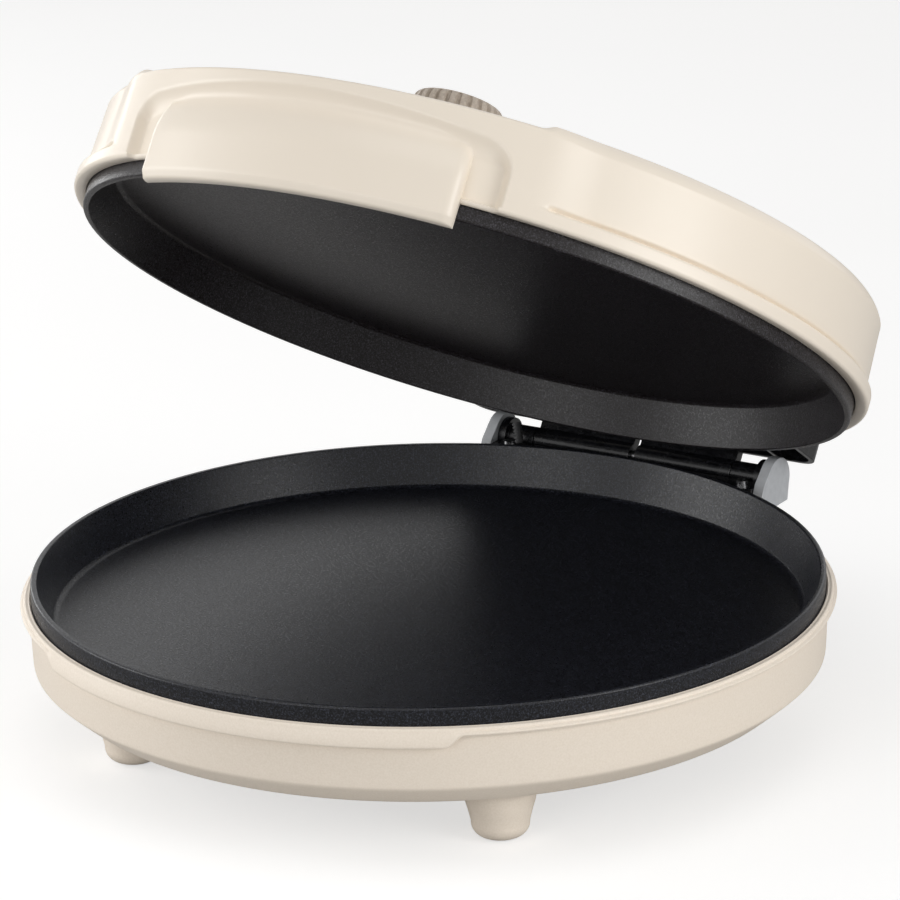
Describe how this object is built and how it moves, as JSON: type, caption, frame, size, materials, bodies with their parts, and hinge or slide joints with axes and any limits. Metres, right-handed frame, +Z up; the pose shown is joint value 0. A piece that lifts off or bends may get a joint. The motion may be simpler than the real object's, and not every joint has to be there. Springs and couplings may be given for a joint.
{
  "type": "electric pizza maker",
  "caption": "Round countertop pizza cooker: two heated non-stick plates in moulded shells, a rear hinge, a front handle and a thermostat knob on the lid.",
  "frame": {"origin": "on the table, below the middle of the object's length and width as it stands with the lid open as shown", "axes": "+Z up; -Y towards the handle at the front; +Y towards the hinge; +X to the right seen from the front, along the hinge axis"},
  "size_m": [0.3376, 0.3692, 0.297],
  "materials": {
    "cream_plastic": "glossy moulded plastic",
    "nonstick": "cast aluminium with a black non-stick coat",
    "element_steel": "dark oxidised steel tube",
    "bright_steel": "bright zinc-plated steel",
    "reflector_sheet": "bright thin sheet",
    "black_plastic": "semi-gloss black heat-proof plastic",
    "grey_plastic": "satin grey plastic",
    "taupe_plastic": "satin taupe plastic",
    "black_rubber": "soft black bush",
    "terminal_plastic": "white heat-proof plastic",
    "ceramic": "off-white ceramic body with metal strips",
    "brass": "turned brass",
    "red_lens": "clear red plastic",
    "green_lens": "clear green plastic",
    "lamp_glass": "small glass lamp bodies"
  },
  "bodies": {
    "base": {"base_shell": "cream_plastic", "lower_plate": "nonstick", "lower_heater": "element_steel", "lower_heater_clips": "bright_steel", "lower_clip_screws": "bright_steel", "lower_reflector": "reflector_sheet", "lower_plate_screws": "bright_steel", "base_hinge_bracket": "black_plastic", "bracket_screws": "bright_steel", "hinge_pin": "bright_steel", "hinge_cover_left": "grey_plastic", "hinge_cover_right": "grey_plastic", "lead_sleeve": "black_rubber", "cord_gland": "black_rubber", "terminal_block": "terminal_plastic", "thermal_fuse": "bright_steel", "fuse_clamp": "bright_steel"},
    "lid": {"lid_shell": "cream_plastic", "upper_plate": "nonstick", "upper_heater": "element_steel", "upper_heater_clips": "bright_steel", "upper_clip_screws": "bright_steel", "upper_reflector": "reflector_sheet", "upper_plate_screws": "bright_steel", "lid_hinge_housing": "black_plastic", "housing_screws": "bright_steel", "thermostat_body": "ceramic", "thermostat_bush": "brass", "power_lens": "red_lens", "ready_lens": "green_lens", "indicator_lamps": "lamp_glass"},
    "knob": {"knob": "taupe_plastic", "thermostat_spindle": "bright_steel"}
  },
  "joints": [
    {"name": "lid_hinge", "type": "hinge", "parent": "base", "child": "lid", "pos_m": [0, 0.15779, 0.0648], "axis": [-1, 0, 0], "range_deg": [-34.2, 66]},
    {"name": "knob_turn", "type": "hinge", "parent": "lid", "child": "knob", "pos_m": [0, -0.02748, 0.19603], "axis": [0, 0.5621, 0.8271], "range_deg": [0, 270]}
  ]
}
